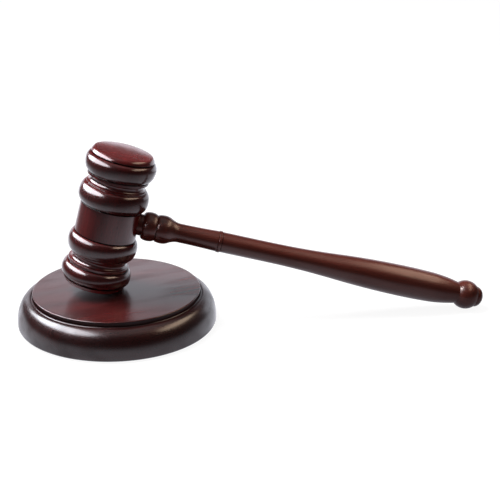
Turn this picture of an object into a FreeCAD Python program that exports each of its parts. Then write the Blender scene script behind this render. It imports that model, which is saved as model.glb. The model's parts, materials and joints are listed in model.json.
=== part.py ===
import FreeCAD, Part
import math
import os

# A turned wooden gavel that rests on its round sound block. Lengths are in millimetres.
# The origin is the centre of the block's underside, +Z is up and the handle points along +X.

# Fits that several pieces share
contact_gap = 0.2
glue_gap = 0.1
cut_overrun = 5.0

# Sound block, a disc turned about Z
block_radius = 57.0
block_height = 20.0
plate_radius = 48.0
plate_rise = 2.6
plate_edge_chamfer = 0.6
ledge_width = 1.3
ledge_step = 0.5
widest_height = 3.6
foot_chamfer = 1.4

# Felt disc in a shallow recess under the block, inside a rim of bare wood
base_rim_width = 5.35
felt_thickness = 2.0
felt_proud = 0.5
felt_rim_gap = 0.25

# Gavel head, a turning with the same mouldings towards both faces. The barrel and the beads sit a
# little towards the lower face, so the lower roll is the shorter one.
barrel_radius = 17.4
barrel_half_length = 8.65
barrel_offset = 0.75
quirk_width = 0.4
waist_radius = 16.9
bead_radius = 19.7
bead_length = 11.2
bead_curve_radius = 10.1
fillet_width = 0.8
cove_radius = 15.1
cove_length = 4.1
step_radius = 17.3
step_width = 1.5
roll_radius = 19.9
roll_length = 9.75
roll_curve_radius = 9.6
face_groove_width = 0.5
face_radius = 17.9
face_rim_height = 0.9
face_edge_round = 1.5
face_crown = 0.8

# Handle, a turning about its own axis, feature by feature from the head to the butt
tenon_radius = 5.0
tenon_length = 25.0
tenon_chamfer = 0.8
bore_end_room = 1.0
seat_sink = 0.15
collar_radius = 6.1
collar_length = 3.2
first_bead_foot_radius = 6.6
first_bead_radius = 8.3
first_bead_length = 7.8
bead_groove_radius = 7.0
second_bead_radius = 8.1
second_bead_length = 4.2
ogee_length = 9.7
neck_radius = 5.4
neck_length = 22.0
neck_end_radius = 5.95
ring_groove_width = 0.35
ring_groove_radius = 5.6
ring_radius = 6.25
ring_length = 1.7
shaft_radius = 5.85
shaft_length = 26.5
swell_length = 86.0
grip_radius = 9.15
grip_end_length = 15.0
grip_end_radius = 8.8
taper_length = 17.2
taper_end_radius = 6.3
ball_radius = 8.5
button_radius = 6.1
button_length = 4.8

# Tightest round of a moulding, as a share of the shorter way that it turns through
tight_round_share = 0.62

# Where a moulding is widest and where a curve turns, as shares of its length
bead_crown_share = 0.45
roll_crown_share = 0.6
first_bead_crown_share = 0.55
ogee_turn_share = 0.42
swell_turn_share = 0.5

# Where the head's rim touches the plate, measured from the block's axis towards the butt
contact_point_x = 3.2

CENTRE = FreeCAD.Vector(0, 0, 0)
OUTWARD = FreeCAD.Vector(1, 0, 0)
ALONG = FreeCAD.Vector(0, 0, 1)


def at(radius, height):
    """A point of an outline that is turned about Z."""
    return FreeCAD.Vector(radius, 0, height)


def chain(*points):
    """Straight edges from point to point."""
    return [Part.makeLine(start, end) for start, end in zip(points, points[1:])]


def arc_through(start, middle_radius, end):
    """One arc that has the given radius from the axis midway between two points."""
    return Part.Arc(start, at(middle_radius, (start.z + end.z) / 2), end).toShape()


def arc_about(centre, start, end):
    """The shorter arc about a centre."""
    to_start = start - centre
    to_middle = (to_start + (end - centre)).normalize() * to_start.Length
    return Part.Arc(start, centre + to_middle, end).toShape()


def arc_from(start, direction, end):
    """An arc that leaves start in a direction, and the direction in which it reaches end."""
    chord = end - start
    side = (chord - direction * chord.dot(direction)).normalize()
    centre = start + side * (chord.dot(chord) / (2 * chord.dot(side)))
    chord_direction = FreeCAD.Vector(chord).normalize()
    end_direction = chord_direction * (2 * chord_direction.dot(direction)) - direction
    return arc_about(centre, start, end), end_direction


def rounded_corner(start, corner, end):
    """A convex curve that leaves start and reaches end along their lines to the corner.

    It is one arc where both legs are alike. Otherwise a wide arc leaves the longer leg and a tight
    one the shorter leg, and they meet in one tangent.
    """
    near, far = sorted((start, end), key=lambda point: (point - corner).Length)
    short = (near - corner).Length
    long = (far - corner).Length
    if math.isclose(short, long):
        return [arc_about(near + far - corner, start, end)]
    tight_radius = tight_round_share * short
    wide_radius = (long ** 2 - 2 * long * tight_radius + short ** 2) / (2 * (short - tight_radius))
    tight_centre = near + (far - corner).normalize() * tight_radius
    wide_centre = far + (near - corner).normalize() * wide_radius
    meeting = wide_centre + (tight_centre - wide_centre).normalize() * wide_radius
    return [arc_about(wide_centre, far, meeting), arc_about(tight_centre, meeting, near)]


def bead(crown, curve_radius, start, end):
    """A round moulding between two points, as one arc with a short wall at each end of it."""
    centre = crown - OUTWARD * curve_radius
    feet = []
    for point in (start, end):
        reach = math.sqrt(curve_radius ** 2 - (point.z - centre.z) ** 2)
        feet.append(at(centre.x + reach, point.z))
    curve = Part.Arc(feet[0], crown, feet[1]).toShape()
    return chain(start, feet[0]) + [curve] + chain(feet[1], end)


def ogee(start, end, turn_share):
    """Two arcs that leave start and reach end along the axis, and meet at a share of the way."""
    turn = start + (end - start) * turn_share
    first, direction = arc_from(start, ALONG, turn)
    second = arc_from(turn, direction, end)[0]
    return [first, second]


def dome(edge, crown_height):
    """A round cap from its edge to the axis."""
    return arc_from(at(0, crown_height), OUTWARD, edge)[0]


def turned(edges):
    """The solid that an outline sweeps about Z. The outline is closed along the axis."""
    outline = Part.Wire(Part.__sortEdges__(edges))
    return Part.Face(outline).revolve(CENTRE, ALONG, 360)


def recess_radius_under_block():
    return block_radius - foot_chamfer - base_rim_width


def make_sound_block():
    ledge_height = block_height - plate_rise
    ledge_radius = plate_radius + ledge_width
    moulding_top = at(ledge_radius, ledge_height - ledge_step)
    moulding_side = at(block_radius, widest_height)
    foot_radius = block_radius - foot_chamfer
    recess_radius = recess_radius_under_block()

    edges = chain(
        moulding_side,
        at(block_radius, felt_proud + foot_chamfer),
        at(foot_radius, felt_proud),
        at(recess_radius, felt_proud),
        at(recess_radius, felt_thickness),
        at(0, felt_thickness),
        at(0, block_height),
        at(plate_radius - plate_edge_chamfer, block_height),
        at(plate_radius, block_height - plate_edge_chamfer),
        at(plate_radius, ledge_height),
        at(ledge_radius, ledge_height),
        moulding_top,
    )
    edges += rounded_corner(moulding_top, at(block_radius, moulding_top.z), moulding_side)
    return turned(edges)


def make_base_felt():
    return Part.makeCylinder(recess_radius_under_block() - felt_rim_gap, felt_thickness)


def head_half_outline(offset):
    """The outline from the barrel's end to the crown of a face, with the centre of the face's rounded
    rim and the height of the crown. The offset moves all but the roll's end and the face outward."""
    barrel_end = at(barrel_radius, barrel_half_length + offset)
    bead_start = at(waist_radius, barrel_end.z + quirk_width)
    bead_crown = at(bead_radius, bead_start.z + bead_crown_share * bead_length)
    bead_end = at(waist_radius, bead_start.z + bead_length)
    cove_start = at(waist_radius, bead_end.z + fillet_width)
    cove_end = at(waist_radius, cove_start.z + cove_length)
    step_start = at(step_radius, cove_end.z)
    step_end = at(step_radius, step_start.z + step_width)
    roll_start = at(waist_radius, step_end.z + quirk_width)
    roll_end = at(waist_radius, roll_start.z + roll_length - offset)
    roll_crown = at(roll_radius, roll_end.z - (1 - roll_crown_share) * roll_length)
    groove_end = at(waist_radius, roll_end.z + face_groove_width)
    rim_start = at(face_radius, groove_end.z)
    rim_end = at(face_radius, rim_start.z + face_rim_height)
    rim_centre = at(face_radius - face_edge_round, rim_end.z)
    face_edge = at(rim_centre.x, rim_centre.z + face_edge_round)
    crown_height = face_edge.z + face_crown

    edges = chain(barrel_end, bead_start)
    edges += bead(bead_crown, bead_curve_radius, bead_start, bead_end)
    edges += chain(bead_end, cove_start)
    edges.append(arc_through(cove_start, cove_radius, cove_end))
    edges += chain(cove_end, step_start, step_end, at(waist_radius, step_end.z), roll_start)
    edges += bead(roll_crown, roll_curve_radius, roll_start, roll_end)
    edges += chain(roll_end, groove_end, rim_start, rim_end)
    edges += rounded_corner(rim_end, at(face_radius, face_edge.z), face_edge)
    edges.append(dome(face_edge, crown_height))
    return edges, rim_centre, crown_height


def pocket(radius, inner_end):
    """A round cutter along +X that runs out through the side of the barrel."""
    length = barrel_radius + cut_overrun - inner_end
    return Part.makeCylinder(radius, length, OUTWARD * inner_end, OUTWARD)


def make_gavel_head(seat_station):
    upper, _, crown_height = head_half_outline(-barrel_offset)
    lower = [edge.mirror(CENTRE, ALONG) for edge in head_half_outline(barrel_offset)[0]]
    barrel = chain(
        at(barrel_radius, -barrel_half_length - barrel_offset),
        at(barrel_radius, barrel_half_length - barrel_offset),
    )
    core = chain(at(0, crown_height), at(0, -crown_height))
    head = turned(barrel + upper + core + lower)
    bore = pocket(tenon_radius + glue_gap, seat_station - tenon_length - bore_end_room)
    seat = pocket(collar_radius + glue_gap, seat_station)
    return head.cut(bore).cut(seat)


def make_gavel_handle(seat_station):
    """The handle along +X from the head's middle, with the stations of its ball and its button."""
    tenon_start = seat_station - tenon_length
    collar_end = at(collar_radius, seat_station + collar_length)
    first_bead_start = at(first_bead_foot_radius, collar_end.z)
    first_bead_top = at(first_bead_radius, collar_end.z + first_bead_crown_share * first_bead_length)
    first_bead_end = at(bead_groove_radius, collar_end.z + first_bead_length)
    second_bead_top = at(second_bead_radius, first_bead_end.z + second_bead_length)
    neck_start = at(neck_radius, second_bead_top.z + ogee_length)
    neck_end = at(neck_end_radius, neck_start.z + neck_length)
    ring_start = neck_end.z + ring_groove_width
    ring_end = ring_start + ring_length
    shaft_start = at(shaft_radius, ring_end + ring_groove_width)
    shaft_end = at(shaft_radius, shaft_start.z + shaft_length)
    grip_widest = at(grip_radius, shaft_end.z + swell_length)
    grip_end = at(grip_end_radius, grip_widest.z + grip_end_length)
    taper_end = at(taper_end_radius, grip_end.z + taper_length)
    ball_centre = at(0, taper_end.z + math.sqrt(ball_radius ** 2 - taper_end_radius ** 2))
    button_start = at(button_radius, ball_centre.z + math.sqrt(ball_radius ** 2 - button_radius ** 2))
    tip = at(0, button_start.z + button_length)

    edges = chain(
        tip,
        at(0, tenon_start),
        at(tenon_radius - tenon_chamfer, tenon_start),
        at(tenon_radius, tenon_start + tenon_chamfer),
        at(tenon_radius, seat_station),
        at(collar_radius, seat_station),
        collar_end,
        first_bead_start,
    )
    edges.append(Part.Arc(first_bead_start, first_bead_top, first_bead_end).toShape())
    edges.append(arc_from(second_bead_top, -ALONG, first_bead_end)[0])
    edges += ogee(second_bead_top, neck_start, ogee_turn_share)
    edges.append(arc_from(neck_start, ALONG, neck_end)[0])
    edges += chain(
        neck_end,
        at(ring_groove_radius, ring_start),
        at(ring_radius, ring_start),
        at(ring_radius, ring_end),
        at(ring_groove_radius, ring_end),
        shaft_start,
        shaft_end,
    )
    edges += ogee(shaft_end, grip_widest, swell_turn_share)
    grip_curve, direction = arc_from(grip_widest, ALONG, grip_end)
    edges += [grip_curve, arc_from(grip_end, direction, taper_end)[0]]
    edges.append(arc_about(ball_centre, taper_end, button_start))
    edges.append(dome(button_start, tip.z))
    handle = turned(edges)
    handle.rotate(CENTRE, FreeCAD.Vector(0, 1, 0), 90)
    return handle, ball_centre.z, button_start.z


def rest_placement(ball_station):
    """How the gavel lies: its ball on the table and the lower rim of its head on the plate.

    Both touching points are round, so each is as high as its centre less its radius. With the
    handle tilted down by t, the two heights give a cos t - b sin t = c, which is solved for t.
    """
    rim_centre = head_half_outline(barrel_offset)[1]
    ball_height = contact_gap + ball_radius
    rim_centre_height = block_height + contact_gap + face_edge_round
    a = rim_centre.z
    b = ball_station - rim_centre.x
    c = ball_height - rim_centre_height
    tilt = math.acos(c / math.hypot(a, b)) - math.atan2(b, a)
    head_x = contact_point_x + a * math.sin(tilt) - rim_centre.x * math.cos(tilt)
    head_z = ball_height + ball_station * math.sin(tilt)
    turn = FreeCAD.Rotation(FreeCAD.Vector(0, 1, 0), math.degrees(tilt))
    return FreeCAD.Placement(at(head_x, head_z), turn)


def main():
    # The collar's seat is cut just past where the barrel's side falls away from the collar.
    seat_station = math.sqrt(barrel_radius ** 2 - collar_radius ** 2) - seat_sink
    handle, ball_station, button_station = make_gavel_handle(seat_station)
    head = make_gavel_head(seat_station)
    rest = rest_placement(ball_station)
    head.Placement = rest.multiply(head.Placement)
    handle.Placement = rest.multiply(handle.Placement)
    pieces = {
        "sound_block": make_sound_block(),
        "base_felt": make_base_felt(),
        "gavel_head": head,
        "gavel_handle": handle,
    }
    os.makedirs("parts", exist_ok=True)
    for name, shape in pieces.items():
        shape.exportStep("parts/" + name + ".step")
        print(name, "valid", shape.isValid(), "solids", len(shape.Solids), "volume", round(shape.Volume))
    print("handle tilt in degrees", math.degrees(rest.Rotation.Angle))
    print("head centre", rest.Base)
    print("swing axis passes through", rest.multVec(OUTWARD * button_station))


main()
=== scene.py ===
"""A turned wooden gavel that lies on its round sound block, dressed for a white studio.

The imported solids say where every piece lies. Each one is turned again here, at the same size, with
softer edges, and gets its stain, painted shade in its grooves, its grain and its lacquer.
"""

import json
import math

import bmesh
import bpy
import numpy as np
from bpy.props import FloatProperty, FloatVectorProperty, PointerProperty
from mathutils import Matrix, Vector
from mathutils.kdtree import KDTree


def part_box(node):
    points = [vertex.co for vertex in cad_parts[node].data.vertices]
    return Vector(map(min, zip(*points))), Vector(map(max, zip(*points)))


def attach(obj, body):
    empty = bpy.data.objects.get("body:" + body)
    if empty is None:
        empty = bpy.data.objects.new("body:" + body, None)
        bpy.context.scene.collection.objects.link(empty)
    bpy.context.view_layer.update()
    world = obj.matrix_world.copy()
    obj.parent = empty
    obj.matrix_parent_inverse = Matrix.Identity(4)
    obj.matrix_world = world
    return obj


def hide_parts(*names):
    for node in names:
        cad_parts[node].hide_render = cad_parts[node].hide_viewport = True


bl_info = {
    "name": "Turned Gavel",
    "version": (1, 0, 0),
    "blender": (4, 5, 0),
    "location": "3D View > Sidebar > Gavel",
    "description": "Turns a gavel and its sound block and sets them in a white studio",
    "category": "Add Mesh",
}

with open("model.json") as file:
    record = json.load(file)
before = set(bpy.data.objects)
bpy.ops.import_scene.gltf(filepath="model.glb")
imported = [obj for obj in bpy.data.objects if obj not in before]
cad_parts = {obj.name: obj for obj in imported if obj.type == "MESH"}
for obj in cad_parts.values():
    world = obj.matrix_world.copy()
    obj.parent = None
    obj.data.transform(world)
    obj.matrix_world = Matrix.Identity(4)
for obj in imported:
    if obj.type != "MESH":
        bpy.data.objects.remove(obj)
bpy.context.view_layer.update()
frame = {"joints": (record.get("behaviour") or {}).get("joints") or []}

MM = 0.001

# Where the gavel lies: the middle of its head, and how far its handle dips under level
HEAD_CENTRE = sum(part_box("gavel_head"), Vector()) / 2
SWING_PIVOT = Vector(frame["joints"][0]["pos_m"])
HANDLE_LINE = (SWING_PIVOT - HEAD_CENTRE).normalized()
HANDLE_DIP = math.asin(-HANDLE_LINE.z)
HEAD_TURN = (0, HANDLE_DIP, 0)
HANDLE_TURN = (0, HANDLE_DIP + math.radians(90), 0)

# How finely the turnings are cut
HEAD_STEPS = 160
HANDLE_STEPS = 96
BLOCK_STEPS = 256
FELT_STEPS = 128
BORE_STEPS = 96
ROUND_STEPS = 14
SUPPORT_REACH = 0.3 * MM
LONGEST_STRETCH = 3.0 * MM
CORNER_ANGLE = math.radians(25)
EASE_SEGMENTS = 3
SMOOTH_ANGLE = math.radians(50)
MERGE_REACH = 0.005 * MM

# The bore: room for glue round the tenon, air past its end, and the cutter's way out of the barrel
GLUE_GAP = 0.1 * MM
BORE_END_ROOM = 1.0 * MM
CUT_OVERRUN = 5.0 * MM

# Painted shade darkens where a ball of this radius stays clear of the outline, fully so at this depth
HOLLOW_BALL = 1.6 * MM
HOLLOW_DEPTH = 1.2 * MM

# Shares of painted shade and stain, and of gloss that is lost
SHADE_STAIN_SHARE = 0.75
HANDLE_SHADE_STAIN_SHARE = 0.2
HANDLE_GLOSS = 0.75
PORE_STAIN = 0.35
TURNED_TONE = 0.66
TURNED_TONE_REACH = 0.8 * MM
MOULDING_TONE = 0.8
MOULDING_DULLNESS = 0.05
THIN_LACQUER = 0.28

# The figure of the wood: how it is drawn out along the fibres, from where to where pores and clouds
# show in their noise, and how fibres and bands add up to the tone
FIBRE_STRETCH = 0.045
PORE_STRETCH = 0.12
CLOUD_STRETCH = 0.3
PORE_EDGE = (0.62, 0.72)
CLOUD_EDGE = (0.42, 0.66)
FIBRE_CONTRAST = 0.7
BAND_CONTRAST = 1.6
DARKEST_TONE = 0.65

# The block is cut across the lathe, so its fibres lie level and a little askew
ACROSS_BLOCK = (0, math.radians(90), math.radians(20))

# The studio. White is 1, and the mirrored values are what the lacquer shows.
LIT_POINT = Vector((0, 0, 0.05))
BUTT = Vector((0.202, -0.005, 0.015))
FLOOR_BRIGHTEST = (-0.03, 0.09, 0)
FLOOR_FADE = (0.05, 0.44)
FLOOR_MIRRORED_NEAR = 1.6
FLOOR_MIRRORED_FAR = 0.12
FLOOR_SEEN = 0.92
FLOOR_SHADOW = 0.2
FLOOR_PAINT = 0.07
WALL_IN_FRONT = 0.05
WALL_BEHIND = 0.10
WALL_CHANGE = (-0.5, 0.6)
CEILING = 0.55
CEILING_EDGE = (0.72, 0.92)
CARD_DISTANCE = 0.27
CARD_MIDDLE = 0.15
CARD_WIDTH = 0.7
CARD_HEIGHT = 0.148
CARD_BRIGHTNESS = 1.75
SENSOR_WIDTH = 36
WHITE = (1.0, 1.0, 1.0)
COOL = (1.0, 1.02, 1.12)
COOL_WHITE = (0.95, 1.0, 1.07)
WARM = (1.0, 0.78, 0.58)


def length(name, millimetres, description):
    """A length that the user can change, given in millimetres and kept in metres."""
    return FloatProperty(
        name=name, description=description, default=millimetres * MM, unit="LENGTH", precision=5
    )


def share(name, default, description):
    """A share between nothing and all."""
    return FloatProperty(
        name=name, description=description, default=default, min=0, max=1, subtype="FACTOR"
    )


def angle(name, degrees, description):
    """An angle, given in degrees and kept in radians."""
    return FloatProperty(
        name=name, description=description, default=math.radians(degrees), subtype="ANGLE"
    )


def colour(name, default, description):
    """A colour in linear light."""
    return FloatVectorProperty(
        name=name, description=description, default=default, size=3, min=0, max=1, subtype="COLOR"
    )


class HeadSizes(bpy.types.PropertyGroup):
    """Sizes of the gavel's head, from the middle of its barrel to a striking face."""

    barrel_radius: length("Barrel radius", 17.4, "Radius of the plain barrel that takes the handle")
    barrel_half_length: length("Barrel half length", 8.65, "From the middle of the barrel to its end")
    barrel_offset: length("Barrel offset", 0.75, "How far barrel and beads sit towards the lower face")
    quirk_width: length("Quirk width", 0.4, "Width of the fine grooves beside the mouldings")
    waist_radius: length("Waist radius", 16.9, "Radius at the bottom of the fine grooves")
    bead_radius: length("Bead radius", 19.7, "Crown of the bead beside the barrel")
    bead_length: length("Bead length", 11.2, "Length of the bead along the head")
    bead_crown: share("Bead crown", 0.45, "Where along the bead its crown is")
    fillet_width: length("Fillet width", 0.8, "Flat between the bead and the cove")
    cove_radius: length("Cove radius", 15.1, "Radius at the bottom of the cove")
    cove_length: length("Cove length", 4.1, "Length of the cove along the head")
    step_radius: length("Step radius", 17.3, "Radius of the small step beside the roll")
    step_width: length("Step width", 1.5, "Width of the small step")
    roll_radius: length("Roll radius", 19.9, "Crown of the wide roll at the end of the head")
    roll_length: length("Roll length", 9.75, "Mean length of the rolls along the head")
    roll_crown: share("Roll crown", 0.6, "Where along the roll its crown is")
    face_groove_width: length("Face groove", 0.5, "Width of the groove under the striking face")
    face_radius: length("Face radius", 17.9, "Radius of the striking face's rim")
    rim_height: length("Rim height", 2.4, "Height of the rounded rim")
    rim_width: length("Rim width", 1.5, "How far the rim draws in towards the face")
    rim_lean: angle("Rim lean", 12, "How steeply the rim leaves its groove")
    face_crown: length("Face crown", 0.8, "How far the striking face is domed")


class HandleSizes(bpy.types.PropertyGroup):
    """Sizes of the handle, from the middle of the head to the butt."""

    tenon_radius: length("Tenon radius", 5.0, "Radius of the tenon inside the head")
    tenon_length: length("Tenon length", 25.0, "Length of the tenon")
    tenon_chamfer: length("Tenon chamfer", 0.8, "Chamfer at the tenon's end")
    seat_sink: length("Seat sink", 0.15, "How far the collar's seat goes below the barrel's side")
    collar_radius: length("Collar radius", 6.1, "Radius of the collar against the barrel")
    collar_length: length("Collar length", 3.2, "Length of the collar")
    first_bead_foot: length("First bead foot", 6.6, "Radius at the foot of the first bead")
    first_bead_radius: length("First bead radius", 8.3, "Crown of the first bead")
    first_bead_length: length("First bead length", 7.8, "Length of the first bead")
    bead_groove: length("Bead groove", 7.0, "Radius of the groove between the beads")
    second_bead_radius: length("Second bead radius", 8.1, "Crown of the second bead")
    second_bead_length: length("Second bead length", 4.2, "From the groove to the second bead's crown")
    ogee_length: length("Ogee length", 9.7, "From the second bead's crown to the thinnest neck")
    ogee_turn: share("Ogee turn", 0.42, "Where the ogee turns from round to hollow")
    neck_radius: length("Neck radius", 5.4, "Thinnest radius of the neck")
    neck_length: length("Neck length", 22.0, "From the thinnest neck to the ring")
    neck_end_radius: length("Neck end radius", 5.95, "Radius of the neck beside the ring")
    ring_groove_width: length("Ring groove width", 0.35, "Width of the fine grooves beside the ring")
    ring_groove_radius: length("Ring groove radius", 5.6, "Radius at the bottom of those grooves")
    ring_radius: length("Ring radius", 6.25, "Radius of the fine raised ring")
    ring_length: length("Ring length", 1.7, "Length of the ring")
    shaft_radius: length("Shaft radius", 5.85, "Radius of the plain shaft")
    shaft_length: length("Shaft length", 26.5, "Length of the plain shaft")
    swell_length: length("Swell length", 86.0, "From the plain shaft to the widest grip")
    swell_turn: share("Swell turn", 0.5, "Where the swell turns from hollow to round")
    grip_radius: length("Grip radius", 9.15, "Widest radius of the grip")
    grip_end_length: length("Grip end length", 15.0, "From the widest grip to the start of its taper")
    grip_end_radius: length("Grip end radius", 8.8, "Radius at the start of the taper")
    taper_length: length("Taper length", 17.2, "Length of the taper down to the ball")
    taper_end_radius: length("Taper end radius", 6.3, "Radius where the taper meets the ball")
    ball_radius: length("Ball radius", 8.5, "Radius of the ball at the butt")
    button_radius: length("Button radius", 6.1, "Radius of the button behind the ball")
    button_length: length("Button length", 4.7, "Length of the button")


class BlockSizes(bpy.types.PropertyGroup):
    """Sizes of the sound block and of the felt under it."""

    radius: length("Radius", 57.0, "Widest radius of the block")
    height: length("Height", 20.0, "From the table to the striking plate")
    plate_radius: length("Plate radius", 48.0, "Radius of the raised striking plate")
    plate_rise: length("Plate rise", 2.6, "Height of the plate above the ledge")
    ledge_width: length("Ledge width", 1.0, "Width of the ledge round the plate")
    ledge_step: length("Ledge step", 0.35, "Step down from the ledge to the top of the moulding")
    ledge_drop: length("Ledge drop", 0.75, "How far the rounded ledge falls outwards, into a fine groove")
    quirk: length("Quirk", 0.15, "Width of that groove")
    plate_ease: length("Plate ease", 0.5, "Rounding of the plate's edge")
    widest_height: length("Widest height", 3.6, "Height at which the moulding is widest")
    foot_round: length("Foot round", 1.4, "Rounding at the foot of the block")
    rim_width: length("Base rim", 5.35, "Bare wood between the foot and the felt")
    felt_thickness: length("Felt thickness", 2.0, "Thickness of the felt")
    felt_proud: length("Felt proud", 0.5, "How far the felt stands out under the block")
    felt_gap: length("Felt gap", 0.25, "Gap round the felt")


class Finish(bpy.types.PropertyGroup):
    """Colours of the stain, of the painted shade and of the felt, and the softness of the lacquer."""

    head_light: colour("Head, light", (0.23, 0.023, 0.023), "Head where its wood takes little stain")
    head_dark: colour("Head, dark", (0.110, 0.011, 0.012), "Head where its wood takes more stain")
    handle_light: colour("Handle, light", (0.185, 0.033, 0.022), "Handle where its wood takes little stain")
    handle_dark: colour("Handle, dark", (0.098, 0.018, 0.012), "Handle where its wood takes more stain")
    block_light: colour("Block, light", (0.110, 0.014, 0.013), "Block where its wood takes little stain")
    block_dark: colour("Block, dark", (0.040, 0.006, 0.006), "Block where its wood takes more stain")
    painted_shade_and_stain: colour("Painted shade and stain", (0.004, 0.001, 0.001), "Painted shade in the grooves, and the darker tone of the mouldings")
    felt: colour("Felt", (0.012, 0.012, 0.013), "Wool felt under the block")
    head_blur: share("Head blur", 0.20, "How blurred the head's lacquer mirrors")
    handle_blur: share("Handle blur", 0.30, "How blurred the handle's lacquer mirrors")
    block_blur: share("Block blur", 0.26, "How blurred the block's lacquer mirrors")
    edge_ease: length("Edge ease", 0.14, "How far lacquer rounds a cut edge")


class Studio(bpy.types.PropertyGroup):
    """The camera and the light."""

    camera_x: length("Camera X", 16.5, "Place of the camera along the handle")
    camera_y: length("Camera Y", -603.6, "Place of the camera in front of the object")
    camera_z: length("Camera Z", 271.3, "Height of the camera")
    pan: angle("Pan", 5.71, "Turn to the right of straight ahead")
    dip: angle("Dip", 20.79, "Angle that the camera looks down")
    roll: angle("Roll", 0.36, "Lean of the camera")
    lens: FloatProperty(
        name="Lens", description="Focal length on a sensor 36 mm wide",
        default=81.2, min=1, subtype="DISTANCE_CAMERA",
    )
    floor_size: length("Floor size", 8000, "Side of the white floor")


class Outline:
    """What a turner cuts along the lathe: points of (radius, station) from one end to the other."""

    def __init__(self, radius, station):
        self.points = [(radius, station)]

    @property
    def radius(self):
        """The radius that the cut has reached."""
        return self.points[-1][0]

    @property
    def station(self):
        """How far along the lathe the cut has come."""
        return self.points[-1][1]

    def line(self, radius, station):
        """A straight stretch, with a point close to each end so that the flat stays flat."""
        reach = math.hypot(radius - self.radius, station - self.station)
        stops = [1.0]
        if reach > 3 * SUPPORT_REACH:
            inner = reach - 2 * SUPPORT_REACH
            count = max(1, math.ceil(inner / LONGEST_STRETCH))
            stops = [(SUPPORT_REACH + inner * i / count) / reach for i in range(count + 1)] + [1.0]
        self._follow(lambda t: (t, t), radius, station, stops)

    def rise(self, radius, station):
        """A quarter of an ellipse that leaves across the axis and ends along it."""
        self._follow(lambda t: (math.sin(t * math.pi / 2), 1 - math.cos(t * math.pi / 2)), radius, station)

    def fall(self, radius, station):
        """A quarter of an ellipse that leaves along the axis and ends across it."""
        self._follow(lambda t: (1 - math.cos(t * math.pi / 2), math.sin(t * math.pi / 2)), radius, station)

    def ogee(self, radius, station, turn):
        """An S that leaves and ends along the axis and changes its bend at a share of the way."""
        def follow(t):
            if t < turn:
                return t * t / turn, t
            return 1 - (1 - t) ** 2 / (1 - turn), t
        self._follow(follow, radius, station, self._even(station))

    def sweep(self, radius, station, slope=0.0):
        """A shallow bend that leaves with a slope and reaches a radius. Returns the slope at its end."""
        run = station - self.station
        lead = slope * run
        drop = radius - self.radius

        def follow(t):
            return (lead * t + (drop - lead) * t * t) / drop, t
        self._follow(follow, radius, station, self._even(station))
        return (2 * drop - lead) / run

    def bow(self, radius, station, lean):
        """An arc of a circle that leaves at a lean from the axis, towards it."""
        drop, run = self.radius - radius, station - self.station
        turn = 2 * (math.atan2(drop, run) - lean)
        bend = math.hypot(drop, run) / (2 * math.sin(turn / 2))
        start_radius, start_station = self.points[-1]
        for i in range(1, ROUND_STEPS + 1):
            heading = lean + turn * i / ROUND_STEPS
            self.points.append((
                start_radius - bend * (math.cos(lean) - math.cos(heading)),
                start_station + bend * (math.sin(heading) - math.sin(lean)),
            ))

    def ball(self, centre, ball_radius, end):
        """An arc about a point on the axis, from here to an end station."""
        first = math.acos((self.station - centre) / ball_radius)
        last = math.acos((end - centre) / ball_radius)
        count = 2 * ROUND_STEPS
        for i in range(1, count + 1):
            bearing = first + (last - first) * i / count
            self.points.append((ball_radius * math.sin(bearing), centre + ball_radius * math.cos(bearing)))

    def _even(self, station):
        """Even stops on the way to a station."""
        count = max(ROUND_STEPS, math.ceil(abs(station - self.station) / LONGEST_STRETCH))
        return [i / count for i in range(1, count + 1)]

    def _follow(self, curve, radius, station, stops=None):
        """Goes to a radius and a station by a curve, which gives the shares across and along."""
        start_radius, start_station = self.points[-1]
        for t in stops or [i / ROUND_STEPS for i in range(1, ROUND_STEPS + 1)]:
            across, along = curve(t)
            self.points.append((
                start_radius + (radius - start_radius) * across,
                start_station + (station - start_station) * along,
            ))

    def corners(self):
        """The points at which the outline turns sharply."""
        found = []
        for before, here, after in zip(self.points, self.points[1:], self.points[2:]):
            arriving = Vector(here) - Vector(before)
            leaving = Vector(after) - Vector(here)
            if arriving.angle(leaving) > CORNER_ANGLE:
                found.append(here)
        return found


def select_only(piece):
    """Selects one piece and nothing else."""
    bpy.ops.object.select_all(action="DESELECT")
    piece.select_set(True)
    bpy.context.view_layer.objects.active = piece


def draw_outline(name, outline, ease):
    """Draws the outline in the XZ plane by extruding one point, and eases its corners."""
    bpy.ops.object.select_all(action="DESELECT")
    bpy.ops.mesh.primitive_plane_add(size=MM)
    piece = bpy.context.active_object
    piece.name = name
    bpy.ops.object.mode_set(mode="EDIT")
    bpy.ops.mesh.select_mode(type="VERT")
    bpy.ops.mesh.select_all(action="SELECT")
    bpy.ops.mesh.merge(type="CENTER")
    here = Vector()
    for radius, station in outline.points:
        there = Vector((radius, 0, station))
        if here.length:
            bpy.ops.mesh.extrude_region_move(TRANSFORM_OT_translate={"value": there - here})
        else:
            bpy.ops.transform.translate(value=there)
        here = there
    select_places(piece, outline.corners())
    bpy.ops.mesh.bevel(offset=ease, segments=EASE_SEGMENTS, affect="VERTICES")
    return piece


def select_places(piece, places):
    """Selects the vertices of the drawn outline that lie at these places."""
    mesh = bmesh.from_edit_mesh(piece.data)
    for vertex in mesh.verts:
        vertex.select = any(
            math.hypot(vertex.co.x - radius, vertex.co.z - station) < MERGE_REACH
            for radius, station in places
        )
    mesh.select_flush(False)
    bmesh.update_edit_mesh(piece.data)


def turn(name, outline, steps, ease):
    """Spins the outline about Z into a closed solid."""
    piece = draw_outline(name, outline, ease)
    bpy.ops.mesh.select_all(action="SELECT")
    bpy.ops.mesh.spin(steps=steps, angle=2 * math.pi, center=(0, 0, 0), axis=(0, 0, 1))
    bpy.ops.mesh.select_all(action="SELECT")
    bpy.ops.mesh.remove_doubles(threshold=MERGE_REACH)
    bpy.ops.mesh.normals_make_consistent(inside=False)
    bpy.ops.object.mode_set(mode="OBJECT")
    mark_hollows(piece, outline)
    return piece


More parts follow.
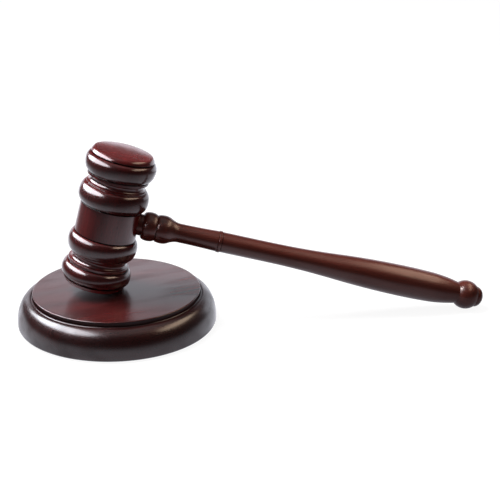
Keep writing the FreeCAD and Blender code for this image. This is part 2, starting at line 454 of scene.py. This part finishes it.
def hollows(outline):
    """How far a ball that rolls along the outline stays away from each of its points, as a share."""
    points = np.array(outline.points)
    tangents = np.gradient(points, axis=0)
    tangents /= np.maximum(np.linalg.norm(tangents, axis=1), MERGE_REACH)[:, None]
    centres = points + HOLLOW_BALL * np.stack((tangents[:, 1], -tangents[:, 0]), axis=1)
    starts, runs = points[:-1], np.diff(points, axis=0)
    away = centres[:, None] - starts[None]
    along = (away * runs).sum(axis=2) / np.maximum((runs ** 2).sum(axis=1), MERGE_REACH ** 2)
    gaps = np.linalg.norm(away - np.clip(along, 0, 1)[..., None] * runs, axis=2).min(axis=1)
    return np.clip((HOLLOW_BALL - gaps) / HOLLOW_DEPTH, 0, 1)


def mark_hollows(piece, outline):
    """Stores on the mesh where shade is painted, in the grooves and inner corners of the outline."""
    lookup = KDTree(len(outline.points))
    for i, (radius, station) in enumerate(outline.points):
        lookup.insert((radius, 0, station), i)
    lookup.balance()
    depths = hollows(outline)
    for name in ("groove", "shade_and_stain"):
        attribute = piece.data.attributes.new(name, "FLOAT", "POINT")
        for vertex, value in zip(piece.data.vertices, attribute.data):
            place_of = (math.hypot(vertex.co.x, vertex.co.y), 0, vertex.co.z)
            value.value = depths[lookup.find(place_of)[1]]


def tone(piece, attribute, share_at):
    """Raises an attribute of the turned piece to the share that belongs to a radius and a station."""
    for vertex, value in zip(piece.data.vertices, piece.data.attributes[attribute].data):
        share_here = share_at(math.hypot(vertex.co.x, vertex.co.y), vertex.co.z)
        value.value = max(value.value, share_here)


def cut(piece, radius, inner_end, outer_end):
    """Bores a round pocket into the piece along X."""
    bpy.ops.object.select_all(action="DESELECT")
    bpy.ops.mesh.primitive_cylinder_add(
        vertices=BORE_STEPS, radius=radius, depth=outer_end - inner_end,
        location=((inner_end + outer_end) / 2, 0, 0), rotation=(0, math.pi / 2, 0),
    )
    cutter = bpy.context.active_object
    select_only(piece)
    pocket = piece.modifiers.new("Pocket", "BOOLEAN")
    pocket.operation = "DIFFERENCE"
    pocket.solver = "MANIFOLD"
    pocket.object = cutter
    bpy.ops.object.modifier_apply(modifier=pocket.name)
    bpy.data.objects.remove(cutter)


def place(piece, location, rotation):
    """Moves the piece to its place, which goes into its mesh."""
    select_only(piece)
    bpy.ops.object.shade_smooth_by_angle(angle=SMOOTH_ANGLE)
    piece.location = location
    piece.rotation_euler = rotation
    bpy.ops.object.transform_apply(location=True, rotation=True, scale=True)


def hand_over(piece, material, node, body):
    """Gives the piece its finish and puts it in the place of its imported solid."""
    piece.data.materials.clear()
    piece.data.materials.append(material)
    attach(piece, body)
    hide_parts(node)


def head_half(sizes, offset):
    """The outline from the middle of the head to the crown of a striking face.

    The offset moves the barrel's end and the bead towards that face, and the roll gets shorter by it.
    """
    outline = Outline(sizes.barrel_radius, 0)
    outline.line(sizes.barrel_radius, sizes.barrel_half_length + offset)
    outline.line(sizes.waist_radius, outline.station + sizes.quirk_width)
    bead_start = outline.station
    outline.rise(sizes.bead_radius, bead_start + sizes.bead_crown * sizes.bead_length)
    outline.fall(sizes.waist_radius, bead_start + sizes.bead_length)
    outline.line(sizes.waist_radius, outline.station + sizes.fillet_width)
    cove_start = outline.station
    outline.rise(sizes.cove_radius, cove_start + sizes.cove_length / 2)
    outline.fall(sizes.waist_radius, cove_start + sizes.cove_length)
    outline.line(sizes.step_radius, outline.station)
    outline.line(sizes.step_radius, outline.station + sizes.step_width)
    outline.line(sizes.waist_radius, outline.station)
    outline.line(sizes.waist_radius, outline.station + sizes.quirk_width)
    roll_end = outline.station + sizes.roll_length - offset
    outline.rise(sizes.roll_radius, roll_end - (1 - sizes.roll_crown) * sizes.roll_length)
    outline.fall(sizes.waist_radius, roll_end)
    outline.line(sizes.waist_radius, outline.station + sizes.face_groove_width)
    outline.line(sizes.face_radius, outline.station)
    outline.bow(sizes.face_radius - sizes.rim_width, outline.station + sizes.rim_height, sizes.rim_lean)
    edge_radius, edge_station = outline.radius, outline.station
    for i in range(1, ROUND_STEPS + 1):
        radius = edge_radius * (1 - i / ROUND_STEPS)
        outline.points.append((radius, edge_station + sizes.face_crown * (1 - (radius / edge_radius) ** 2)))
    return outline


def head_outline(sizes):
    """The whole head, from the crown of the lower face to the crown of the upper one."""
    upper = head_half(sizes, -sizes.barrel_offset)
    lower = head_half(sizes, sizes.barrel_offset)
    whole = Outline(0, -lower.station)
    whole.points = [(radius, -station) for radius, station in reversed(lower.points)] + upper.points[1:]
    return whole


def seat_station(head, handle):
    """Where the collar seats, just below the side of the barrel."""
    return math.sqrt(head.barrel_radius ** 2 - handle.collar_radius ** 2) - handle.seat_sink


def handle_outline(sizes, seat):
    """The handle from the end of its tenon to the tip of its button."""
    outline = Outline(0, seat - sizes.tenon_length)
    outline.line(sizes.tenon_radius - sizes.tenon_chamfer, outline.station)
    outline.line(sizes.tenon_radius, outline.station + sizes.tenon_chamfer)
    outline.line(sizes.tenon_radius, seat)
    outline.line(sizes.collar_radius, seat)
    outline.line(sizes.collar_radius, seat + sizes.collar_length)
    outline.line(sizes.first_bead_foot, outline.station)
    outline.rise(sizes.first_bead_radius, outline.station + sizes.first_bead_length / 2)
    outline.fall(sizes.bead_groove, outline.station + sizes.first_bead_length / 2)
    outline.rise(sizes.second_bead_radius, outline.station + sizes.second_bead_length)
    outline.ogee(sizes.neck_radius, outline.station + sizes.ogee_length, sizes.ogee_turn)
    outline.sweep(sizes.neck_end_radius, outline.station + sizes.neck_length)
    outline.line(sizes.ring_groove_radius, outline.station + sizes.ring_groove_width)
    outline.line(sizes.ring_radius, outline.station)
    outline.line(sizes.ring_radius, outline.station + sizes.ring_length)
    outline.line(sizes.ring_groove_radius, outline.station)
    outline.line(sizes.shaft_radius, outline.station + sizes.ring_groove_width)
    outline.line(sizes.shaft_radius, outline.station + sizes.shaft_length)
    outline.ogee(sizes.grip_radius, outline.station + sizes.swell_length, sizes.swell_turn)
    slope = outline.sweep(sizes.grip_end_radius, outline.station + sizes.grip_end_length)
    outline.sweep(sizes.taper_end_radius, outline.station + sizes.taper_length, slope)
    ball_centre = outline.station + math.sqrt(sizes.ball_radius ** 2 - sizes.taper_end_radius ** 2)
    button_start = ball_centre + math.sqrt(sizes.ball_radius ** 2 - sizes.button_radius ** 2)
    outline.ball(ball_centre, sizes.ball_radius, button_start)
    outline.fall(0, button_start + sizes.button_length)
    return outline


def block_outline(sizes):
    """The block from the middle of its recess, round its foot and up to the middle of its plate."""
    foot_radius = sizes.radius - sizes.foot_round
    ledge_height = sizes.height - sizes.plate_rise
    ledge_radius = sizes.plate_radius + sizes.ledge_width
    outline = Outline(0, sizes.felt_thickness)
    outline.line(foot_radius - sizes.rim_width, sizes.felt_thickness)
    outline.line(foot_radius - sizes.rim_width, sizes.felt_proud)
    outline.line(foot_radius, sizes.felt_proud)
    outline.rise(sizes.radius, sizes.felt_proud + sizes.foot_round)
    outline.line(sizes.radius, sizes.widest_height)
    outline.fall(ledge_radius + sizes.quirk, ledge_height - sizes.ledge_step)
    outline.line(ledge_radius, ledge_height - sizes.ledge_drop)
    outline.rise(sizes.plate_radius, ledge_height)
    outline.line(sizes.plate_radius, sizes.height - sizes.plate_ease)
    outline.fall(sizes.plate_radius - sizes.plate_ease, sizes.height)
    outline.line(0, sizes.height)
    return outline


def felt_outline(sizes):
    """The felt from the middle of its underside to the middle of its top."""
    radius = sizes.radius - sizes.foot_round - sizes.rim_width - sizes.felt_gap
    outline = Outline(0, 0)
    outline.line(radius, 0)
    outline.line(radius, sizes.felt_thickness)
    outline.line(0, sizes.felt_thickness)
    return outline


def new_group(name, inputs, outputs):
    """A shader node group with its named sockets."""
    group = bpy.data.node_groups.new(name, "ShaderNodeTree")
    for label, kind, default in inputs:
        socket = group.interface.new_socket(label, in_out="INPUT", socket_type=kind)
        if default is not None:
            socket.default_value = default
    for label, kind in outputs:
        group.interface.new_socket(label, in_out="OUTPUT", socket_type=kind)
    return group


def add_node(tree, kind, inputs=None, **settings):
    """Adds a node, sets it up, and fills its inputs with values or links."""
    node = tree.nodes.new(kind)
    for name, value in settings.items():
        setattr(node, name, value)
    for key, value in (inputs or {}).items():
        socket = node.inputs[key]
        if isinstance(value, bpy.types.NodeSocket):
            tree.links.new(value, socket)
        else:
            socket.default_value = value
    return node


def math_node(tree, operation, first, second=0.0, third=0.0, clamp=False):
    """A sum or product of values and links, as a link."""
    inputs = {0: first, 1: second, 2: third}
    return add_node(tree, "ShaderNodeMath", inputs, operation=operation, use_clamp=clamp).outputs[0]


def smooth_step(tree, value, edge, start=0.0, end=1.0):
    """A value that goes smoothly from the start to the end while the input crosses the edge, as a link."""
    node = add_node(tree, "ShaderNodeMapRange", {
        "Value": value, "From Min": edge[0], "From Max": edge[1], "To Min": start, "To Max": end,
    }, interpolation_type="SMOOTHSTEP")
    return node.outputs[0]


def blend_colours(tree, share_of_second, first, second):
    """A blend of two colours, as a link."""
    node = add_node(
        tree, "ShaderNodeMix", {"Factor": share_of_second, "A": first, "B": second}, data_type="RGBA"
    )
    return next(socket for socket in node.outputs if socket.type == "RGBA")


def opaque(tint):
    """A colour with its alpha."""
    return (*tint, 1)


def wood_figure_group():
    """Grain, pores and clouds of thin lacquer on turned wood whose fibres run along Z."""
    group = new_group(
        "Wood figure",
        [("Vector", "NodeSocketVector", None), ("Fibre scale", "NodeSocketFloat", 900.0),
         ("Band scale", "NodeSocketFloat", 120.0), ("Pore scale", "NodeSocketFloat", 2600.0),
         ("Cloud scale", "NodeSocketFloat", 75.0)],
        [("Tone", "NodeSocketFloat"), ("Pores", "NodeSocketFloat"), ("Relief", "NodeSocketFloat"),
         ("Thin lacquer", "NodeSocketFloat")],
    )
    source = group.nodes.new("NodeGroupInput")

    def drawn_out(stretch):
        node = add_node(group, "ShaderNodeVectorMath",
                        {0: source.outputs["Vector"], 1: (1.0, 1.0, stretch)}, operation="MULTIPLY")
        return node.outputs[0]

    def noise(vector, scale, detail, roughness, distortion=0.0):
        node = add_node(group, "ShaderNodeTexNoise", {
            "Vector": vector, "Scale": source.outputs[scale], "Detail": detail,
            "Roughness": roughness, "Distortion": distortion})
        return node.outputs[0]

    along_fibres = drawn_out(FIBRE_STRETCH)
    fibres = noise(along_fibres, "Fibre scale", 3.0, 0.6)
    bands = noise(along_fibres, "Band scale", 2.0, 0.45, 0.6)
    pores = smooth_step(group, noise(drawn_out(PORE_STRETCH), "Pore scale", 1.0, 0.4), PORE_EDGE)
    clouds = smooth_step(group, noise(drawn_out(CLOUD_STRETCH), "Cloud scale", 2.0, 0.5), CLOUD_EDGE)
    fine = math_node(group, "MULTIPLY", fibres, FIBRE_CONTRAST)
    mixed = math_node(group, "MULTIPLY_ADD", bands, BAND_CONTRAST, fine)
    result = group.nodes.new("NodeGroupOutput")
    group.links.new(math_node(group, "SUBTRACT", mixed, DARKEST_TONE, clamp=True), result.inputs["Tone"])
    group.links.new(pores, result.inputs["Pores"])
    group.links.new(math_node(group, "SUBTRACT", fibres, pores), result.inputs["Relief"])
    group.links.new(clouds, result.inputs["Thin lacquer"])
    return group


def shared_figure():
    """The wood's figure, built once for all materials."""
    return bpy.data.node_groups.get("Wood figure") or wood_figure_group()


def new_material(name):
    """A material with its nodes and its Principled shader."""
    material = bpy.data.materials.new(name)
    material.use_nodes = True
    return material, material.node_tree, material.node_tree.nodes["Principled BSDF"]


def lacquered_wood(name, stains, shade_and_stain_colour, location, rotation, blur, shade_stain_share=SHADE_STAIN_SHARE, gloss_share=1.0):
    """Stained wood under lacquer, darkened and dulled by painted shade where its mask says.

    The figure follows the piece's own axis, and the stain goes from dark to light with it. The lacquer
    alone is glossy, because it wets the wood.
    """
    material, tree, shader = new_material(name)
    coordinates = tree.nodes.new("ShaderNodeTexCoord")
    turned = add_node(tree, "ShaderNodeMapping", {
        "Vector": coordinates.outputs["Object"], "Location": location, "Rotation": rotation,
    }, vector_type="TEXTURE")
    wood = add_node(tree, "ShaderNodeGroup", node_tree=shared_figure())
    tree.links.new(turned.outputs[0], wood.inputs["Vector"])
    shade_and_stain_mask = add_node(tree, "ShaderNodeAttribute", attribute_name="shade_and_stain")
    groove = add_node(tree, "ShaderNodeAttribute", attribute_name="groove")

    stained = blend_colours(tree, wood.outputs["Tone"], opaque(stains[0]), opaque(stains[1]))
    in_pores = math_node(tree, "MULTIPLY", wood.outputs["Pores"], PORE_STAIN)
    # Painted shade, the darker tone and the stain in the pores blend the colour towards the dark one
    painted_shade_and_stain = math_node(tree, "MULTIPLY_ADD", shade_and_stain_mask.outputs["Fac"], shade_stain_share, in_pores)
    tree.links.new(blend_colours(tree, painted_shade_and_stain, stained, opaque(shade_and_stain_colour)), shader.inputs["Base Color"])
    relief = add_node(tree, "ShaderNodeBump", {
        "Height": wood.outputs["Relief"], "Distance": 0.02 * MM, "Strength": 0.25})
    tree.links.new(relief.outputs[0], shader.inputs["Normal"])
    shader.inputs["Roughness"].default_value = 0.6
    shader.inputs["Specular IOR Level"].default_value = 0.0

    # The lacquer loses its gloss where shade is painted
    gloss = math_node(tree, "MULTIPLY_ADD", groove.outputs["Fac"], -shade_stain_share * gloss_share, gloss_share)
    even = math_node(tree, "MULTIPLY_ADD", wood.outputs["Thin lacquer"], -THIN_LACQUER, 1.0)
    tree.links.new(math_node(tree, "MULTIPLY", gloss, even), shader.inputs["Coat Weight"])
    shader.inputs["Coat Roughness"].default_value = blur
    return material


def felt_material(finish):
    """Short black wool felt."""
    material, tree, shader = new_material("Black wool felt")
    coordinates = tree.nodes.new("ShaderNodeTexCoord")
    wool = add_node(tree, "ShaderNodeTexNoise", {
        "Vector": coordinates.outputs["Object"], "Scale": 1400.0, "Detail": 4.0, "Roughness": 0.7})
    felt = Vector(finish.felt)
    fibres = blend_colours(tree, wool.outputs[0], opaque(felt * 0.5), opaque(felt * 2))
    nap = add_node(tree, "ShaderNodeBump", {
        "Height": wool.outputs[0], "Distance": 0.3 * MM, "Strength": 0.6})
    tree.links.new(fibres, shader.inputs["Base Color"])
    tree.links.new(nap.outputs[0], shader.inputs["Normal"])
    shader.inputs["Roughness"].default_value = 0.95
    shader.inputs["Sheen Weight"].default_value = 0.3
    return material


def ramp(value, start, reach):
    """Rises from 0 at the start to 1 over the reach."""
    return min(1, max(0, (value - start) / reach))


class GAVEL_OT_turn_head(bpy.types.Operator):
    """Turn the gavel's head and bore it for the handle"""

    bl_idname = "gavel.turn_head"
    bl_label = "Turn Head"

    def execute(self, context):
        scene = context.scene
        sizes, handle, finish = scene.gavel_head, scene.gavel_handle, scene.gavel_finish
        head = turn("head_turning", head_outline(sizes), HEAD_STEPS, finish.edge_ease)
        seat = seat_station(sizes, handle)
        outside = sizes.barrel_radius + CUT_OVERRUN
        cut(head, handle.tenon_radius + GLUE_GAP, seat - handle.tenon_length - BORE_END_ROOM, outside)
        cut(head, handle.collar_radius + GLUE_GAP, seat, outside)
        # Beads and rolls are darker all round, the more so the further they stand out past the face's rim
        tone(head, "shade_and_stain", lambda radius, station:
             TURNED_TONE * ramp(radius, sizes.face_radius, TURNED_TONE_REACH))
        place(head, HEAD_CENTRE, HEAD_TURN)
        stains = finish.head_dark, finish.head_light
        wood = lacquered_wood("Head wood", stains, finish.painted_shade_and_stain, HEAD_CENTRE, HEAD_TURN, finish.head_blur)
        hand_over(head, wood, "gavel_head", "gavel")
        return {"FINISHED"}


class GAVEL_OT_turn_handle(bpy.types.Operator):
    """Turn the gavel's handle"""

    bl_idname = "gavel.turn_handle"
    bl_label = "Turn Handle"

    def execute(self, context):
        scene = context.scene
        sizes, finish = scene.gavel_handle, scene.gavel_finish
        seat = seat_station(scene.gavel_head, sizes)
        handle = turn("handle_turning", handle_outline(sizes, seat), HANDLE_STEPS, finish.edge_ease)
        collar_end = seat + sizes.collar_length + MERGE_REACH
        # Painted shadow of the head: the collar is made dark and dull all over
        for attribute in ("shade_and_stain", "groove"):
            tone(handle, attribute, lambda radius, station: 1.0 * (station < collar_end))
        place(handle, HEAD_CENTRE, HANDLE_TURN)
        stains = finish.handle_dark, finish.handle_light
        wood = lacquered_wood("Handle wood", stains, finish.painted_shade_and_stain, HEAD_CENTRE, HANDLE_TURN,
                              finish.handle_blur, HANDLE_SHADE_STAIN_SHARE, HANDLE_GLOSS)
        hand_over(handle, wood, "gavel_handle", "gavel")
        return {"FINISHED"}


class GAVEL_OT_turn_block(bpy.types.Operator):
    """Turn the round sound block"""

    bl_idname = "gavel.turn_block"
    bl_label = "Turn Block"

    def execute(self, context):
        scene = context.scene
        sizes, finish = scene.gavel_block, scene.gavel_finish
        block = turn("block_turning", block_outline(sizes), BLOCK_STEPS, finish.edge_ease)
        wall_start = sizes.plate_radius - MERGE_REACH
        wall_end = sizes.plate_radius + MERGE_REACH
        # Darker all round outside the plate's edge, on its wall, ledge and moulding
        tone(block, "shade_and_stain", lambda radius, station: MOULDING_TONE * (radius > wall_start))
        tone(block, "groove", lambda radius, station: MOULDING_DULLNESS * (radius > wall_start))
        # Painted shade on the plate's wall: it loses all its gloss
        tone(block, "groove", lambda radius, station: 1.0 * (wall_start < radius < wall_end))
        place(block, (0, 0, 0), (0, 0, 0))
        stains = finish.block_dark, finish.block_light
        wood = lacquered_wood("Block wood", stains, finish.painted_shade_and_stain, (0, 0, 0), ACROSS_BLOCK, finish.block_blur)
        hand_over(block, wood, "sound_block", "sound_block")
        return {"FINISHED"}


class GAVEL_OT_cut_felt(bpy.types.Operator):
    """Cut the felt disc under the block"""

    bl_idname = "gavel.cut_felt"
    bl_label = "Cut Felt"

    def execute(self, context):
        sizes, finish = context.scene.gavel_block, context.scene.gavel_finish
        felt = turn("felt_pad", felt_outline(sizes), FELT_STEPS, 2 * finish.edge_ease)
        place(felt, (0, 0, 0), (0, 0, 0))
        hand_over(felt, felt_material(finish), "base_felt", "sound_block")
        return {"FINISHED"}


def add_shaders(tree, first, second):
    """Two shaders on top of each other."""
    both = tree.nodes.new("ShaderNodeAddShader")
    tree.links.new(first.outputs[0], both.inputs[0])
    tree.links.new(second.outputs[0], both.inputs[1])
    return both


def show(tree, shader, output="ShaderNodeOutputMaterial"):
    """Makes a shader what the nodes put out."""
    tree.links.new(shader.outputs[0], tree.nodes.new(output).inputs["Surface"])


def show_either(tree, seen, unseen_shader, seen_shader, output="ShaderNodeOutputMaterial"):
    """Puts out one shader for the rays that count as seen, and the other one for the rest."""
    either = add_node(tree, "ShaderNodeMixShader", {"Fac": seen})
    tree.links.new(unseen_shader.outputs[0], either.inputs[1])
    tree.links.new(seen_shader.outputs[0], either.inputs[2])
    show(tree, either, output)


def floor_material():
    """White to the eye, with a faint shadow.

    Mirrored, it shows a painted pool of light, brightest beside the key light, that fades away from there,
    and for the light that it sends back it is plain dark paint.
    """
    material, tree, _ = new_material("White floor")
    tree.nodes.clear()
    rays = tree.nodes.new("ShaderNodeLightPath")
    coordinates = tree.nodes.new("ShaderNodeTexCoord")
    away = add_node(tree, "ShaderNodeVectorMath", {
        0: coordinates.outputs["Object"], 1: FLOOR_BRIGHTEST}, operation="DISTANCE")
    fading = smooth_step(tree, away.outputs["Value"], FLOOR_FADE, FLOOR_MIRRORED_NEAR, FLOOR_MIRRORED_FAR)
    mirrored = math_node(tree, "MULTIPLY", fading, rays.outputs["Is Glossy Ray"])
    glow = add_node(tree, "ShaderNodeEmission", {"Color": opaque(COOL), "Strength": mirrored})
    paint = add_node(tree, "ShaderNodeBsdfDiffuse", {"Color": opaque([FLOOR_PAINT] * 3)})
    white = add_node(tree, "ShaderNodeEmission", {"Color": opaque(WHITE), "Strength": FLOOR_SEEN})
    shadow = add_node(tree, "ShaderNodeBsdfDiffuse", {"Color": opaque([FLOOR_SHADOW] * 3)})
    to_lacquer = add_shaders(tree, paint, glow)
    to_camera = add_shaders(tree, shadow, white)
    seen = math_node(tree, "ADD", rays.outputs["Is Camera Ray"], rays.outputs["Is Transmission Ray"],
                     clamp=True)
    show_either(tree, seen, to_lacquer, to_camera)
    return material


def set_world():
    """A white room to the camera. The object is lit and mirrored by a dim room with a bright ceiling."""
    world = bpy.data.worlds.new("White studio")
    bpy.context.scene.world = world
    world.use_nodes = True
    tree = world.node_tree
    tree.nodes.clear()
    rays = tree.nodes.new("ShaderNodeLightPath")
    coordinates = tree.nodes.new("ShaderNodeTexCoord")
    direction = add_node(tree, "ShaderNodeSeparateXYZ", {0: coordinates.outputs["Generated"]})
    wall = smooth_step(tree, direction.outputs["Y"], WALL_CHANGE, WALL_IN_FRONT, WALL_BEHIND)
    ceiling = smooth_step(tree, direction.outputs["Z"], CEILING_EDGE, 0.0, CEILING)
    level = math_node(tree, "ADD", wall, ceiling)
    room = add_node(tree, "ShaderNodeBackground", {"Color": opaque(WHITE), "Strength": level})
    white = add_node(tree, "ShaderNodeBackground", {"Color": opaque(WHITE), "Strength": 1.0})
    show_either(tree, rays.outputs["Is Camera Ray"], room, white, "ShaderNodeOutputWorld")


def add_softbox(name, *, bearing, rise, distance, width, height, radiance, tint=WHITE, aim=LIT_POINT,
                lean=0, spread=180, mirrored=True, on_wood=True):
    """An oval of light that faces a point.

    It stands at a bearing to the right of straight ahead and at a rise above level, and leans about its
    own middle. It is mirrored by the lacquer, lights the wood, or both.
    """
    toward = Vector((
        math.sin(math.radians(bearing)) * math.cos(math.radians(rise)),
        math.cos(math.radians(bearing)) * math.cos(math.radians(rise)),
        math.sin(math.radians(rise)),
    ))
    bpy.ops.object.light_add(type="AREA", location=aim + distance * toward)
    lamp = bpy.context.active_object
    lamp.name = name
    lamp.rotation_euler = toward.to_track_quat("Z", "Y").to_euler()
    lamp.rotation_euler.rotate_axis("Z", math.radians(lean))
    lamp.visible_camera = False
    lamp.visible_glossy = mirrored
    lamp.visible_diffuse = on_wood
    lamp.data.shape = "ELLIPSE"
    lamp.data.size = width
    lamp.data.size_y = height
    lamp.data.spread = math.radians(spread)
    lamp.data.energy = math.pi * (math.pi / 4 * width * height) * radiance
    lamp.data.color = tint


def set_lights():
    """Each light is a bright card in the lacquer and a wider, softer one on the wood."""
    add_softbox("mirrored_key", bearing=-92, rise=43, distance=0.22, width=0.40, height=0.15,
                radiance=23, tint=COOL_WHITE, lean=13, on_wood=False)
    add_softbox("key_softbox", bearing=-66, rise=64, distance=1.2, width=0.6, height=0.6,
                radiance=16, mirrored=False)
    add_softbox("mirrored_fill", bearing=92, rise=40, distance=0.6, width=0.6, height=0.22,
                radiance=6.5, tint=WARM, on_wood=False)
    add_softbox("fill_softbox", bearing=92, rise=40, distance=0.6, width=0.4, height=0.4,
                radiance=0.8, tint=WARM, mirrored=False)
    add_softbox("butt_glint", bearing=-105, rise=57, distance=0.08, width=0.02, height=0.05,
                radiance=4, aim=BUTT, spread=40, on_wood=False)


def add_back_card():
    """A low white card behind the object, which only the lacquer shows."""
    bpy.ops.object.select_all(action="DESELECT")
    bpy.ops.mesh.primitive_plane_add(
        size=1, location=(CARD_MIDDLE, CARD_DISTANCE, CARD_HEIGHT / 2), rotation=(math.pi / 2, 0, 0))
    card = bpy.context.active_object
    card.name = "back_card"
    card.scale = (CARD_WIDTH, CARD_HEIGHT, 1)
    bpy.ops.object.transform_apply(location=True, rotation=True, scale=True)
    material, tree, _ = new_material("White card")
    tree.nodes.clear()
    show(tree, add_node(tree, "ShaderNodeEmission", {"Color": opaque(COOL), "Strength": CARD_BRIGHTNESS}))
    card.data.materials.append(material)
    card.visible_camera = False
    card.visible_diffuse = False
    card.visible_shadow = False


def set_camera(scene, studio):
    """Sets up the camera from its place, pan, dip and roll."""
    ahead = Vector((
        math.sin(studio.pan) * math.cos(studio.dip),
        math.cos(studio.pan) * math.cos(studio.dip),
        -math.sin(studio.dip),
    ))
    level = Vector((math.cos(studio.pan), -math.sin(studio.pan), 0))
    right = math.cos(studio.roll) * level + math.sin(studio.roll) * level.cross(ahead)
    up = right.cross(ahead)
    bpy.ops.object.camera_add()
    camera = bpy.context.active_object
    camera.name = "camera"
    turned = Matrix((right, up, -ahead)).transposed().to_4x4()
    camera.matrix_world = Matrix.Translation((studio.camera_x, studio.camera_y, studio.camera_z)) @ turned
    camera.data.sensor_width = SENSOR_WIDTH
    camera.data.lens = studio.lens
    scene.camera = camera


class GAVEL_OT_set_stage(bpy.types.Operator):
    """Lay the floor and set the lights and the camera"""

    bl_idname = "gavel.set_stage"
    bl_label = "Set Stage"

    def execute(self, context):
        scene = context.scene
        studio = scene.gavel_studio
        bpy.ops.object.select_all(action="DESELECT")
        bpy.ops.mesh.primitive_plane_add(size=studio.floor_size)
        floor = context.active_object
        floor.name = "floor"
        floor.data.materials.append(floor_material())
        set_world()
        set_lights()
        add_back_card()
        set_camera(scene, studio)
        scene.view_settings.view_transform = "Standard"
        return {"FINISHED"}


class GAVEL_PT_sidebar(bpy.types.Panel):
    """Steps and sizes of the gavel"""

    bl_idname = "GAVEL_PT_sidebar"
    bl_label = "Turned Gavel"
    bl_space_type = "VIEW_3D"
    bl_region_type = "UI"
    bl_category = "Gavel"

    def draw(self, context):
        layout = self.layout
        for operator in OPERATORS:
            layout.operator(operator.bl_idname)
        for name in GROUPS:
            group = getattr(context.scene, name)
            box = layout.box()
            box.label(text=name.replace("_", " ").capitalize())
            for key in group.bl_rna.properties.keys():
                if key not in ("rna_type", "name"):
                    box.prop(group, key)


OPERATORS = (
    GAVEL_OT_turn_head,
    GAVEL_OT_turn_handle,
    GAVEL_OT_turn_block,
    GAVEL_OT_cut_felt,
    GAVEL_OT_set_stage,
)
GROUPS = {
    "gavel_head": HeadSizes,
    "gavel_handle": HandleSizes,
    "gavel_block": BlockSizes,
    "gavel_finish": Finish,
    "gavel_studio": Studio,
}


def register():
    """Makes the sizes, the steps and the panel known to Blender."""
    for name, group in GROUPS.items():
        bpy.utils.register_class(group)
        setattr(bpy.types.Scene, name, PointerProperty(type=group))
    for operator in OPERATORS:
        bpy.utils.register_class(operator)
    bpy.utils.register_class(GAVEL_PT_sidebar)


def unregister():
    """Takes them away again."""
    bpy.utils.unregister_class(GAVEL_PT_sidebar)
    for operator in reversed(OPERATORS):
        bpy.utils.unregister_class(operator)
    for name, group in reversed(GROUPS.items()):
        delattr(bpy.types.Scene, name)
        bpy.utils.unregister_class(group)


def main():
    """Builds the gavel and its studio."""
    register()
    bpy.ops.gavel.turn_head()
    bpy.ops.gavel.turn_handle()
    bpy.ops.gavel.turn_block()
    bpy.ops.gavel.cut_felt()
    bpy.ops.gavel.set_stage()


if __name__ == "__main__":
    main()
